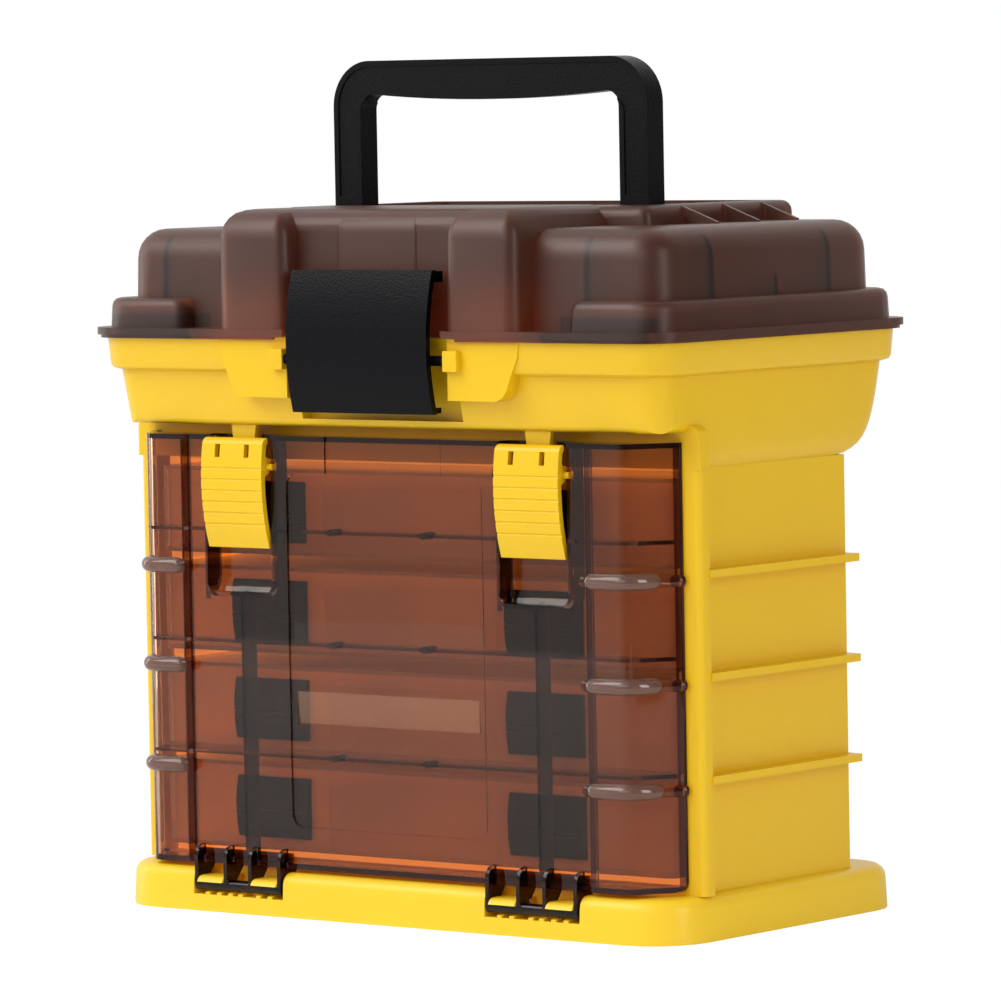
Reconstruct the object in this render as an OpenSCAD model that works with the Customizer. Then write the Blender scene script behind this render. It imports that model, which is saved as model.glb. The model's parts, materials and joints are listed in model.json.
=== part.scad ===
// Fishing tackle cabinet: a carry case with a tackle bin on top and four
// organiser boxes behind a drop-down door.
// Millimetres. +X right, -Y front, +Z up; origin at the middle of the floor.

/* [Base] */
// How far the plinth stands out beyond each side wall
base_out = 7.2; // [6:0.2:10]
// How far the plinth's front and rear stay behind the lid's flange
base_in = 6; // [5:0.2:8]
// Height of the plinth
base_h = 16; // [15:0.5:17]
// Corner radius of the plinth, seen from above
base_r = 22; // [12:1:26]
// Rounding of the plinth's top edge
base_edge = 4.4; // [1:0.2:5]

/* [Cabinet] */
// Distance between the outer faces of the two side walls
case_w = 248; // [240:0.5:256]
// Wall of the yellow mouldings
wall = 2.4; // [2:0.1:2.8]
// How far the side walls' front edges lie behind the door's front
case_set = 16.4; // [16:0.1:17.4]
// How far the cabinet's rear lies in front of the lid's rear edge
rear_in = 33.3; // [30:0.1:34]
// How far the corner posts and side ribs stand out of the side walls
rib_out = 7; // [5:0.5:8]
// Depth of a corner post from front to back
post_d = 5.5; // [5:0.5:7]
// Thickness of a side rib
rib_t = 2.8; // [2:0.2:3.4]
// Spacing of the side ribs and box rails
rail_pitch = 36.5; // [36.2:0.1:36.6]
// How far a box rail reaches in from the side wall
rail_in = 7; // [5:0.5:8]

/* [Top bin] */
// Rise of the bin's underside from the cabinet's top to the part in front of it
step_h = 13; // [12:0.5:15]
// Height of the bin's body, up to its upper band
body_h = 34; // [32:0.5:36]
// Height of the upper band, up to the rim that the lid rests on
band_h = 12; // [11:0.5:14]
// How far the upper band stays inside the lid's flange
band_in = 3.2; // [2.5:0.1:4]
// How far the bin's body stays inside the upper band
band_step = 4.6; // [3:0.2:5]
// Rounding of the bin's lower edge in front of the cabinet
body_edge = 4; // [2:0.5:5]
// Wall of the bin
bin_wall = 2.4; // [2:0.1:2.8]

/* [Lid] */
// How far the lid's flange stands out beyond each side wall
flange_out = 11; // [10:0.5:13]
// Depth of the lid's flange
flange_d = 158.6; // [150:0.2:166]
// Corner radius of the lid's flange
flange_r = 16; // [12:0.5:17]
// Thickness of the lid's flange
flange_t = 2.6; // [2.2:0.2:3.4]
// Height of the lip that hangs from the flange over the bin's rim
lip_h = 1.2; // [1:0.1:2.2]
// Wall of the lid
lid_wall = 2; // [1.6:0.1:2.4]
// Height of the corner tiers above the bin's rim
tier_h = 13.8; // [12:0.2:17]
// Height of the side blocks above the bin's rim
block_h = 39; // [36:0.5:42]
// Height of the ridges and the middle platform above the bin's rim
lid_h = 46.5; // [44:0.5:50]
// Width of a corner tier
tier_w = 42; // [36:0.5:44]
// Width of a front ridge
ridge_w = 32.7; // [30:0.1:34]
// Distance from the handle's side to the platform's side
well_rim = 13.3; // [12:0.1:15]

/* [Handle] */
// Half width of the handle, outside its legs
handle_x = 73.5; // [71:0.1:74]
// Width of a handle leg
leg_w = 13; // [10:0.5:14]
// Depth of the handle's bar
bar_d = 9.6; // [8:0.2:10]
// Depth of the handle's pivots below the platform
pivot_drop = 9; // [8.6:0.1:10]
// Height of the raised handle above its pivots
handle_h = 62.5; // [55:0.5:63]
// Height of the grip at its middle
grip_h = 15; // [13:0.5:17]
// Radius of the handle's pivots
pivot_r = 3; // [2.4:0.1:3.2]

/* [Main latch] */
// Half width of the main latch
latch_x = 32.6; // [30:0.2:33]
// How far the main latch reaches below the bin's rim
latch_down = 27; // [26:0.5:28]
// How far the main latch reaches above the bin's rim
latch_up = 24.6; // [24:0.2:26]
// Depth of the main latch's pivots below the bin's rim
latch_drop = 7.8; // [7:0.1:9]
// How far the main latch bulges out in front of the lid's flange
latch_out = 2.9; // [2:0.1:3.2]
// Radius of the main latch's front, seen from the side
latch_curve = 90; // [70:1:110]
// Radius of the main latch's pivots
latch_r = 1.9; // [1.6:0.1:2.1]

/* [Door] */
// Air between the door's side and the cabinet's side
door_side = 0.8; // [0.6:0.1:1.4]
// Height of the door's bottom edge above the plinth
door_rise = 1.4; // [1:0.1:2]
// Air between the door's top edge and the bin
door_gap = 3.5; // [3:0.1:5]
// How far the door's main panel lies behind the lid's flange
door_in = 10.9; // [10.4:0.1:11.4]
// Wall of the door
door_wall = 1.8; // [1.4:0.1:2.2]
// Width of the door's round-edged columns
column_w = 30.2; // [28:0.2:32]
// How far the columns stand in front of the main panel
column_out = 2.2; // [1:0.1:2.4]
// Rounding of the door's lower corners, seen from the front
door_r = 3.5; // [2:0.5:5]
// How far the door hinge lies in front of the main panel
hinge_out = 2.6; // [2.4:0.1:2.8]
// Height of the door hinge
hinge_z = 9.8; // [9.6:0.1:10]
// Radius of the door hinge's bar
hinge_r = 2.2; // [1.8:0.1:2.3]
// Radial clearance of every pivot in its bearing
pivot_gap = 0.08; // [0.05:0.01:0.1]

/* [Door latches] */
// Distance of a door latch's middle from the cabinet's middle
dlatch_x = 68.6; // [68:0.1:69]
// Width of a door latch
dlatch_w = 29; // [27:0.5:29.5]
// Length of a door latch
dlatch_h = 40.6; // [38:0.2:42]
// Depth of a door latch's pivots below its top edge
dlatch_drop = 10.6; // [10:0.1:11]
// Rounding of a door latch's top edge
dlatch_edge = 3; // [2.4:0.2:3.2]
// Radius of a door latch's pivots
dlatch_r = 1.5; // [1.2:0.1:1.6]

/* [Boxes] */
// Height of an organiser box
box_h = 32; // [31:0.2:32.4]
// How far a box stands out in front of the side walls' front edges
box_out = 2.8; // [2:0.1:3]
// Wall of a box
box_wall = 1.5; // [1.2:0.1:1.8]
// Height of a box's cover
cover_h = 6.4; // [5:0.2:8]
// Half distance between a box's two latches, at their middles
clip_x = 64; // [62:0.5:66]
// Width of a box latch
clip_w = 34; // [30:0.5:35]
// Height of a box latch
clip_h = 22.6; // [20:0.2:24]

/* [Hidden] */
$fn = 40;
yellow = "#f5c72c";
smoke = "#6e5346";
black = "#1d1d20";
clear = "#d9cfc0";
gap = 0.3;                  // air left between pieces that only lie on each other
box_count = 4;
front = flange_d / 2;       // the lid's front edge, and the measure of all depths
// heights
bin_z = base_h + box_count * rail_pitch + 5;
bin_front_z = bin_z + step_h;
band_z = bin_z + body_h;
rim_z = band_z + band_h;
flange_z = rim_z + gap;
tier_z = rim_z + tier_h;
block_z = rim_z + block_h;
lid_z = rim_z + lid_h;
rail_z = base_h + rail_pitch + 4.4;   // the lowest side rib and box rail
floor_t = 2.5;
roof_t = 1.6;
// plinth, cabinet and bin
base_w = case_w + 2 * base_out;
base_d = flange_d - 2 * base_in;
flange_w = case_w + 2 * flange_out;
band_w = flange_w - 2 * band_in;
band_d = flange_d - 2 * band_in;
body_w = band_w - 2 * band_step;
body_d = band_d - 2 * band_step;
door_y = front - door_in;
case_front = door_y - case_set;
case_rear = front - rear_in;
case_inner = case_w / 2 - wall;
// main latch, and the recess that it hangs in
latch_front = front + latch_out;
latch_bottom = rim_z - latch_down;
latch_top = rim_z + latch_up;
latch_z = rim_z - latch_drop;
latch_y = latch_front - 5.9;
latch_mid_z = latch_z + 5.3;
latch_wall = 2.4;
recess_x = latch_x + 4.8;
recess_y = front - 16.7;
recess_floor = 3;
pad_y = front - band_in + 0.1;
// lid
lid_hinge_r = 3;
lid_hinge_y = latch_front - lid_hinge_r;
lid_hinge_z = rim_z - 0.7;
lid_pin_r = 1.4;
ear_x = [50, 84];           // middles of the bin's hinge ears, and below of the lid's knuckles
knuckle_x = [59, 75];
knuckle_w = 8;
ridge_gap = recess_x - 0.6;
ridge_x = ridge_gap + ridge_w;
ridge_y = front - 0.7;
ridge_back = 10;            // where the ridges end inside the platform
lid_wall_y = front - 10.3;  // the lid's front between the ridges
catch_y = lid_wall_y + 2.2;
tier_end = band_w - 1.6;     // from the outer end of one corner tier to that of the other
block_x = case_w / 2 + 1;
block_front = front - 12.3;
block_rear = front - 9.8;
// handle and the well that it folds into
handle_z = lid_z - pivot_drop;
handle_top = handle_z + handle_h;
well_x = handle_x + 1.9;
well_rim_x = handle_x + well_rim;
well_rear = front - 13.3;
handle_y = handle_h + 1.7 - well_rear;   // how far in front of the middle the handle's pivots lie
well_front = handle_y + 7;
well_floor = handle_z - 6.5;
grip_z = handle_top - grip_h;
// door
door_x = case_w / 2 - door_side;
door_bottom = base_h + door_rise;
door_top = bin_front_z - door_gap;
column_x = door_x - column_w;
column_y = door_y + column_out;
hinge_y = door_y + hinge_out;
hinge_x = dlatch_x;
hinge_half = 21.5;
hook_x = 7;                 // inner edge of a hook, from the middle of its hinge
hook_w = 11.8;
hook_t = 1.1;
web_t = 1.6;
rib_edge_y = door_y - 8.8;  // inner edge of the door's ribs
// door latches and their pockets
dlatch_top = door_top - 0.9;
dlatch_bottom = dlatch_top - dlatch_h;
dlatch_z = dlatch_top - dlatch_drop;
dlatch_y = door_y - 1;
dlatch_front = door_y + 3.8;
dlatch_curve = 80;          // radius of a door latch's front, seen from the side
dlatch_wall = 2.2;
pocket_x0 = dlatch_x - dlatch_w / 2 - 0.9;
pocket_x1 = dlatch_x + dlatch_w / 2 + 0.9;
pocket_y = door_y - 6.6;    // front of the latch pocket's back wall
pocket_bottom = door_top - 58;
arm_y = door_y - 4;         // front of the arms that the door latches close over
arm_w = 9.2;
arm_bottom = door_top - 5;
// boxes
box_x = case_inner - 3.4;
box_z = rail_z + rib_t / 2 - rail_pitch + gap;
box_pitch = rail_pitch;
box_front = case_front + box_out;
box_rear = case_rear - wall - 1.2;
box_plan_d = box_front + box_rear;
box_mid_y = (box_rear - box_front) / 2;
tray_h = box_h - cover_h;
inner_t = 1.2;              // thickness of the walls and dividers inside a box

// ---------- shapes that repeat ----------

// Points of a rounded rectangle, anticlockwise, steps per corner
function ring(w, d, r, steps = 5) =
    [for (c = [[1, -1, -90], [1, 1, 0], [-1, 1, 90], [-1, -1, 180]])
        for (i = [0 : steps])
            let (a = c[2] + 90 * i / steps)
            [c[0] * (w / 2 - r) + r * cos(a), c[1] * (d / 2 - r) + r * sin(a)]];

// A solid through rounded rectangles: stations are [w, d, corner radius, z, y shift]
module loft(stations, steps = 5) {
    skin_over([for (s = stations) [for (p = ring(s[0], s[1], s[2], steps)) [p[0], p[1] + s[4], s[3]]]]);
}

// A solid through closed outlines of equally many points, from the lowest up
module skin_over(rings) {
    n = len(rings[0]);
    k = len(rings);
    sides = [for (j = [0 : k - 2]) for (i = [0 : n - 1])
        let (a = j * n + i, b = j * n + (i + 1) % n)
        each [[a, b + n, b], [a, a + n, b + n]]];
    caps = [[for (i = [0 : n - 1]) i], [for (i = [n - 1 : -1 : 0]) (k - 1) * n + i]];
    polyhedron([for (r = rings) each r], concat(caps, sides), convexity = 4);
}

// Stations of a block with drafted walls and a rounded top edge
function pillow(w, d, r, z0, z1, edge, draft = 0, shift = 0, steps = 4) =
    concat([[w, d, r, z0, shift]],
        [for (i = [0 : steps])
            let (a = 90 * i / steps, inset = draft + edge * (1 - cos(a)))
            [w - 2 * inset, d - 2 * inset, max(r - inset, 0.6), z1 - edge + edge * sin(a), shift]]);

// A flat rounded rectangle with true arcs
module plate(w, d, r) {
    square([w - 2 * r, d], center = true);
    square([w, d - 2 * r], center = true);
    for (sx = [-1, 1], sy = [-1, 1]) translate([sx * (w / 2 - r), sy * (d / 2 - r)]) circle(r);
}

// A profile drawn as [forward, up], pulled along X between x0 and x1
module along_x(x0, x1) {
    translate([x0, 0, 0]) rotate([90, 0, 90]) mirror([1, 0]) linear_extrude(x1 - x0) children();
}

module pivot_rod(x0, x1, forward, up, r) {
    translate([x0, -forward, up]) rotate([0, 90, 0]) cylinder(h = x1 - x0, r = r);
}

module both_sides() {
    children();
    mirror([1, 0, 0]) children();
}

// ---------- cabinet ----------

module base_plinth() color(yellow) {
    difference() {
        loft(pillow(base_w, base_d, base_r, 0, base_h, base_edge, 0.6));
        // the hollow underneath, behind the hinge notches
        translate([0, 4, -1]) linear_extrude(base_h - 3) plate(base_w - 14, base_d - 38, base_r - 8);
        both_sides() translate([hinge_x, 0, 0]) hinge_notch();
    }
    for (x = [-60, 0, 60]) translate([x - 1.2, 4 - base_d / 2 + 18, 0.6]) cube([2.4, base_d - 36, base_h - 3]);
    both_sides() translate([hinge_x, 0, 0]) hinge_hooks();
}

module hinge_notch() {
    translate([-hinge_half, -base_d / 2 - 1, hinge_z - hinge_r - 1.4]) cube([2 * hinge_half, 13, base_h]);
}

// Two hooks that grip the door's hinge bar from behind, and the saddles under it
module hinge_hooks() {
    root_y = hinge_y - 8.4;
    bearing = hinge_r + pivot_gap;
    for (x = [-hook_x - hook_w, hook_x]) along_x(x, x + hook_w) difference() {
        union() {
            translate([hinge_y, hinge_z]) circle(bearing + hook_t);
            translate([root_y - 2, hinge_z]) square([hinge_y - root_y + 2, bearing + hook_t]);
            translate([root_y - 2, 2]) square([2.8, hinge_z]);
        }
        translate([hinge_y, hinge_z]) circle(bearing);
        translate([hinge_y - bearing, hinge_z - 9]) square([12, 9]);
        translate([hinge_y + 1.2, hinge_z - 1]) square([9, 2.1]);
    }
    for (x = [-16, -10.5, -1.8, 3, 8.5, 14]) along_x(x, x + 2.2) polygon([
        [hinge_y + 1.6, 6], [hinge_y + 1.6, 7], [hinge_y, 7.4], [hinge_y - 4, 7.4], [hinge_y - 4, 6]]);
}

module cabinet_shell() color(yellow) {
    difference() {
        union() {
            translate([0, (case_rear - case_front) / 2, base_h])
                linear_extrude(bin_z - base_h) plate(case_w, case_front + case_rear, 1.2);
            corner_posts();
            side_ribs();
        }
        // the bay for the boxes, open at the front
        translate([-case_inner, -case_front - 1, base_h + floor_t])
            cube([2 * case_inner, case_front + case_rear - wall + 1, bin_z]);
    }
    roof();
    box_rails();
}

module roof() {
    translate([-case_inner - 1, -case_front + 12, bin_z - roof_t])
        cube([2 * case_inner + 2, case_front + case_rear - 13, roof_t]);
}

// Posts at the front corners, which flare out over the side walls
module corner_posts() {
    both_sides() hull() {
        translate([case_w / 2 - 1.5, -case_front, base_h])
            cube([rib_out - 1.5, 1, bin_z - base_h]);
        translate([case_w / 2 + rib_out - 3, -case_front + 2.4, base_h])
            cylinder(h = bin_z - base_h, r = 2.4);
        translate([case_w / 2 - 1.5, -case_front + post_d - 1, base_h])
            cube([rib_out + 0.9, 1, bin_z - base_h]);
    }
}

module side_ribs() {
    for (i = [0 : box_count - 2])
        translate([-case_w / 2 - rib_out, -case_front + post_d - 0.5, rail_z + i * rail_pitch - rib_t / 2])
            linear_extrude(rib_t) polygon([
                [0, 0], [2 * (case_w / 2 + rib_out), 0],
                [2 * (case_w / 2 + rib_out), case_front + case_rear - post_d - 1.5],
                [case_w + rib_out, case_front + case_rear - post_d],
                [rib_out, case_front + case_rear - post_d],
                [0, case_front + case_rear - post_d - 1.5]]);
}

// Ledges inside the side walls, which carry the boxes
module box_rails() {
    depth = case_front + case_rear - wall - 8;
    both_sides() {
        for (i = [0 : box_count - 2])
            translate([case_inner - rail_in, -case_front + 8, rail_z + i * rail_pitch - rib_t / 2])
                cube([rail_in + 1, depth, rib_t]);
        translate([case_inner - rail_in, -case_front + 8, base_h + floor_t - 0.5])
            cube([rail_in + 1, depth, box_z - gap - base_h - floor_t + 0.5]);
    }
}

// ---------- top bin ----------

// How far the bowl's sides, rear and front draw in at t, from 0 at the step to 1 at the bottom
function side_inset(t) = 1.2 * t + 2 * pow(max(t - 0.8, 0) / 0.2, 2);
function rear_inset(t) = 7.6 * t + 17.9 * (1 - sqrt(1 - pow(t, 4.4)));
function front_inset(t) = 7.3 * t;

// Stations of the bowl, drawn in by skin all round
function bowl(skin, z0, steps) =
    [for (i = [steps : -1 : 0])
        let (t = 1 - pow(1 - i / steps, 1.6),
             back = body_d / 2 - skin - rear_inset(t),
             front = body_d / 2 - skin - front_inset(t))
        [body_w - 2 * (skin + side_inset(t)), back + front, flange_r - 6,
         band_z + 1 + (z0 - band_z - 1) * t, (back - front) / 2]];

module bin_outside() {
    loft(bowl(0, bin_z, 12));
    loft([[body_w - 1, body_d - 1, flange_r - 5, band_z - 1.2, 0],
          [band_w - 3, band_d - 3, flange_r - 2.6, band_z, 0],
          [band_w - 1.6, band_d - 1.6, flange_r - 2.2, band_z + 1.2, 0],
          [band_w, band_d, flange_r - 2, rim_z, 0]]);
}

module bin_inside() {
    w = bin_wall;
    loft(bowl(w, bin_z + w, 8));
    loft([[body_w - 2 * w - 0.4, body_d - 2 * w - 0.4, flange_r - 5, band_z, 0],
          [body_w - 2 * w, body_d - 2 * w, flange_r - 5, band_z + w - 1, 0],
          [band_w - 2 * w - 1.4, band_d - 2 * w - 1.4, flange_r - 4, band_z + w, 0],
          [band_w - 2 * w, band_d - 2 * w, flange_r - 4, rim_z + 1, 0]]);
}

module top_bin() color(yellow) {
    difference() {
        union() {
            difference() {
                bin_outside();
                difference() {
                    bin_inside();
                    recess_block(bin_wall);
                    front_shelf();
                    both_sides() latch_cheek();
                }
            }
            both_sides() latch_pad();
            both_sides() hinge_ears();
        }
        recess_block(0);
        step_over_door();
        both_sides() pivot_rod(recess_x - 1, recess_x + 5, latch_y, latch_z, latch_r + pivot_gap);
        pivot_rod(-flange_w, flange_w, -lid_hinge_y, lid_hinge_z, lid_pin_r + pivot_gap);
        // room for the lid's knuckles
        both_sides() for (x = knuckle_x)
            translate([x - knuckle_w / 2 - 0.4, lid_hinge_y - lid_hinge_r - 0.3, lid_hinge_z - lid_hinge_r - 0.6])
                cube([knuckle_w + 0.8, 12, 12]);
    }
    recess_ledge();
    both_sides() catch_arm();
    both_sides() post_top();
}

// What is cut away over the door, with the bin's lower edges rounded
module step_over_door() {
    reach = 2 * flange_w;
    z0 = bin_front_z;
    t = 1 - (z0 + body_edge - bin_z) / body_h;
    edge_y = body_d / 2 - front_inset(t);
    edge_x = body_w / 2 - side_inset(t);
    translate([-reach / 2, -flange_d, bin_z - 5]) cube([reach, flange_d - case_front, step_h + 5]);
    along_x(-reach / 2, reach / 2) below_rounding(edge_y);
    both_sides() translate([0, -case_front, 0]) rotate([90, 0, 0]) linear_extrude(flange_d) below_rounding(edge_x);
}

// Outside of a rounded lower edge whose face lies at edge
module below_rounding(edge) {
    polygon(concat([[edge + 9, bin_front_z + body_edge], [edge + 9, bin_z], [edge - body_edge, bin_z]],
        [for (a = [0 : 15 : 90]) [edge - body_edge + body_edge * sin(a), bin_front_z + body_edge - body_edge * cos(a)]]));
}

// The upper end of a corner post, which runs into the bin's side
module post_top() {
    x1 = case_w / 2 + rib_out;
    translate([0, post_d - case_front, 0]) rotate([90, 0, 0]) linear_extrude(post_d) polygon([
        [case_w / 2 - 1.5, bin_z], [x1, bin_z], [x1, bin_front_z - 2], [x1 - 0.9, bin_front_z + 0.6],
        [x1 - 3, bin_front_z + 2.2], [x1 - 6, bin_front_z + 2.8], [case_w / 2 - 1.5, bin_front_z + 2.8]]);
}

// The room that the main latch swings in, above a floor that is as thick as the bin's wall
module recess_block(skin) {
    translate([-recess_x - skin, -flange_d, bin_front_z + recess_floor - skin])
        cube([2 * (recess_x + skin), flange_d - recess_y + skin, rim_z]);
}

// Rim over the recess, on which the lid's front wall rests
module recess_ledge() {
    ledge_y = recess_y + 9;
    translate([-recess_x - 0.5, -ledge_y, rim_z - 4]) cube([2 * recess_x + 1, ledge_y - recess_y + 0.5, 4]);
}

// The bin's floor over the door, above the cabinet's own floor line
module front_shelf() {
    translate([-flange_w / 2, -flange_d / 2, bin_z])
        cube([flange_w, flange_d / 2 - case_front + bin_wall, bin_front_z - bin_z + bin_wall]);
}

// Solid cheek beside the recess, which holds a pivot
module latch_cheek() {
    translate([recess_x, -flange_d / 2, bin_front_z]) cube([7, flange_d / 2 - recess_y, rim_z - bin_front_z]);
}

// Raised pad beside the latch, narrower below, and a lug that holds the pivot's end
module latch_pad() {
    back = body_d / 2 - 6;
    top = rim_z - lip_h - 0.3;
    bottom = band_z - 10;
    translate([recess_x, -back, 0]) rotate([90, 0, 0]) linear_extrude(pad_y - back) polygon([
        [0, top], [32.3, top], [31.8, band_z + 6], [28.6, band_z - 1], [26.6, bottom + 3.8],
        [24.8, bottom + 1.4], [21.8, bottom], [0, bottom]]);
    translate([recess_x, -latch_y - latch_r - 0.8, latch_z - 3.7]) cube([6.2, latch_y + latch_r + 0.8 - back, 7.4]);
}

// Arm under the bin's front, over which a door latch closes
module catch_arm() {
    translate([dlatch_x, 2 - arm_y, 0]) rotate([90, 0, 0]) linear_extrude(2) polygon([
        [-arm_w / 2, arm_bottom], [arm_w / 2, arm_bottom],
        [arm_w / 2 + 1.6, bin_front_z + bin_wall], [-arm_w / 2 - 1.6, bin_front_z + bin_wall]]);
}

module hinge_ears() {
    for (x = ear_x) translate([x - knuckle_w / 2, 0, 0]) hull() {
        pivot_rod(0, knuckle_w, -lid_hinge_y, lid_hinge_z, lid_hinge_r);
        translate([0, band_d / 2 - 2, lid_hinge_z - 14]) cube([knuckle_w, 1, 12]);
    }
}

module lid_hinge_pins() color("#b8bcc2")
    both_sides() pivot_rod(ear_x[0] - 6, ear_x[1] + 6, -lid_hinge_y, lid_hinge_z, lid_pin_r);

// ---------- lid ----------

// The lid's outer shape, or with i the same drawn in all round
module lid_outside(i) {
    z0 = flange_z - i * 2;
    // flange
    if (i == 0) translate([0, 0, flange_z]) linear_extrude(flange_t) plate(flange_w, flange_d, flange_r);
    // corner tiers
    intersection() {
        loft(pillow(tier_end - 2 * i, band_d - 2.2 - 2 * i, flange_r - 2 - i, z0, tier_z - i, 3.2, 0.6, 0, 3));
        both_sides() translate([tier_end - tier_w, 0, 0])
            loft(pillow(tier_end - 2 * i, band_d - 2.2 - 2 * i, 6 - i, z0, tier_z - i, 3.2, 0.6, 0, 3));
    }
    // side blocks
    loft(pillow(2 * (block_x - i), block_front + block_rear - 2 * i, flange_r - 2 - i, z0, block_z - i, 11 - i, 0.8,
                (block_rear - block_front) / 2, 6));
    // front wall between the ridges, and the two ridges
    loft(pillow(2 * (ridge_x - 3 - i), lid_wall_y - ridge_back - 2 * i, 5, z0, lid_z - i, 8 - i, 0.4,
                -(lid_wall_y + ridge_back) / 2, 5));
    both_sides() translate([ridge_gap + ridge_w / 2, 0, 0])
        loft(pillow(ridge_w - 2 * i, ridge_y - ridge_back - 2 * i, 6 - i, z0, lid_z - i, 11 - i, 0.4,
                    -(ridge_y + ridge_back) / 2, 6));
    // a raised panel on the front wall
    loft(pillow(38.4 - 2 * i, 30 - 2 * i, 2, z0, lid_z - 0.8 - i, 8 - i, 0.4, 15 - lid_wall_y - 0.6, 5));
    // platform round the handle well
    loft(pillow(2 * (well_rim_x - i), front + 14 - 2 * i, 5, z0, lid_z - 0.5 - i, 4 - i, 0.6, (front - 30) / 2, 4));
}

module lid_cover() color(smoke) {
    difference() {
        union() {
            difference() {
                lid_outside(0);
                difference() {
                    lid_outside(lid_wall);
                    lid_recess(lid_wall);
                    handle_well(lid_wall);
                }
            }
            both_sides() handle_bearing();
            both_sides() lid_knuckles();
            both_sides() gussets();
            flange_lip();
        }
        lid_recess(0);
        handle_well(0);
        both_sides() pivot_rod(handle_x - 2, handle_x + 7, handle_y, handle_z, pivot_r + pivot_gap);
        pivot_rod(-flange_w, flange_w, -lid_hinge_y, lid_hinge_z, lid_pin_r + pivot_gap);
        // flange cut back behind the bin's hinge ears
        both_sides() for (x = ear_x)
            translate([x - knuckle_w / 2 - 0.4, lid_hinge_y - lid_hinge_r - 0.6, lid_hinge_z - 8])
                cube([knuckle_w + 0.8, 12, 16]);
    }
    translate([-28, -catch_y, tier_z + 0.7]) cube([56, catch_y - lid_wall_y + 1, 3.2]);
}

// Lip under the flange's edge, open at the main latch and at the rear
module flange_lip() {
    difference() {
        translate([0, 0, flange_z - lip_h]) linear_extrude(lip_h + 1) plate(band_w + 4, band_d + 4, flange_r - 1);
        translate([0, 0, flange_z - lip_h - 1]) linear_extrude(lip_h + 3) plate(band_w + 1.2, band_d + 1.2, flange_r - 1.4);
        translate([-recess_x - 5, -flange_d, 0]) cube([2 * recess_x + 10, flange_d, lid_z]);
        translate([-flange_w, front - 4, 0]) cube([2 * flange_w, 60, lid_z]);
    }
}

// Room for the main latch in front of the lid's wall between the ridges
module lid_recess(skin) {
    translate([-ridge_gap - skin, -flange_d, flange_z - lip_h - 1])
        cube([2 * (ridge_gap + skin), flange_d - lid_wall_y - 0.7 + skin, lid_z]);
}

module handle_well(skin) {
    translate([-well_x - skin, -well_front - skin, well_floor - skin])
        cube([2 * (well_x + skin), well_front + well_rear + 2 * skin, lid_z]);
}

module handle_bearing() {
    translate([well_x - 0.5, -handle_y - 6, handle_z - 6]) cube([well_rim_x - well_x - 0.5, 12, lid_z - 5 - handle_z + 6]);
}

module lid_knuckles() {
    for (x = knuckle_x) translate([x - knuckle_w / 2, 0, 0]) hull() {
        pivot_rod(0, knuckle_w, -lid_hinge_y, lid_hinge_z, lid_hinge_r);
        translate([0, lid_hinge_y - lid_hinge_r, flange_z + flange_t - 1]) cube([knuckle_w, 2 * lid_hinge_r - 1, 1]);
    }
}

// Three-cornered stiffeners between the platform and a side block
module gussets() {
    for (y = [2, 27, 51])
        translate([well_rim_x - 3.6, y + 0.8, 0]) rotate([90, 0, 0]) linear_extrude(1.6)
            polygon([[0, block_z - 1.5], [0, lid_z - 1.2], [2.2, lid_z - 1.2], [17.6, block_z + 0.6], [17.6, block_z - 1.5]]);
}

// ---------- carry handle ----------

module carry_handle() color(black) {
    difference() {
        translate([0, bar_d / 2 - handle_y, 0]) rotate([90, 0, 0]) linear_extrude(bar_d) handle_outline(0);
        // sunk faces inside a raised border, front and rear
        for (side = [-1, 1]) translate([0, -handle_y + side * bar_d / 2 + 0.5, 0]) rotate([90, 0, 0]) linear_extrude(1)
            intersection() {
                handle_outline(2.2);
                translate([-handle_x, handle_z + 12]) square([2 * handle_x, handle_h]);
            }
    }
    both_sides() {
        pivot_rod(handle_x - leg_w, handle_x, handle_y, handle_z, bar_d / 2);
        pivot_rod(handle_x - 1, handle_x + 6, handle_y, handle_z, pivot_r);
    }
}

// The bow seen from the front, drawn in by i at every edge
module handle_outline(i) {
    difference() {
        union() {
            translate([0, handle_top - i - 30]) plate(2 * (handle_x - i), 60, 17 - i);
            translate([-handle_x + i, handle_z]) square([2 * (handle_x - i), handle_h - 22]);
        }
        difference() {
            union() {
                translate([0, grip_z + 2.6 - 30 - i]) plate(2 * (handle_x - leg_w + i), 60, 6);
                translate([-(handle_x - leg_w + i), 0]) square([2 * (handle_x - leg_w + i), grip_z - 20]);
            }
            translate([0, grip_z - i + 620]) circle(620, $fn = 300);
        }
    }
}

// ---------- main latch ----------

module main_latch() color(black) {
    along_x(-latch_x, latch_x) {
        // the bowed front plate
        intersection() {
            translate([latch_front - latch_curve, latch_mid_z]) difference() {
                circle(latch_curve, $fn = 360);
                circle(latch_curve - latch_wall, $fn = 360);
            }
            translate([latch_front - 14, latch_bottom]) square([16, latch_top - latch_bottom]);
        }
        // the hook over the lid's bar, the web to the pivots and the return at the bottom
        translate([catch_y + 0.6, latch_top - 2.4]) square([5.2, 2]);
        translate([catch_y + 0.6, latch_top - 4.4]) square([1.6, 3]);
        translate([latch_y - 2.4, latch_bottom + 0.4]) square([3.8, 2]);
        translate([latch_y, latch_z - 1.4]) square([4.2, 2.8]);
    }
    pivot_rod(-recess_x - 4.4, recess_x + 4.4, latch_y, latch_z, latch_r);
}

// ---------- door ----------

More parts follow.
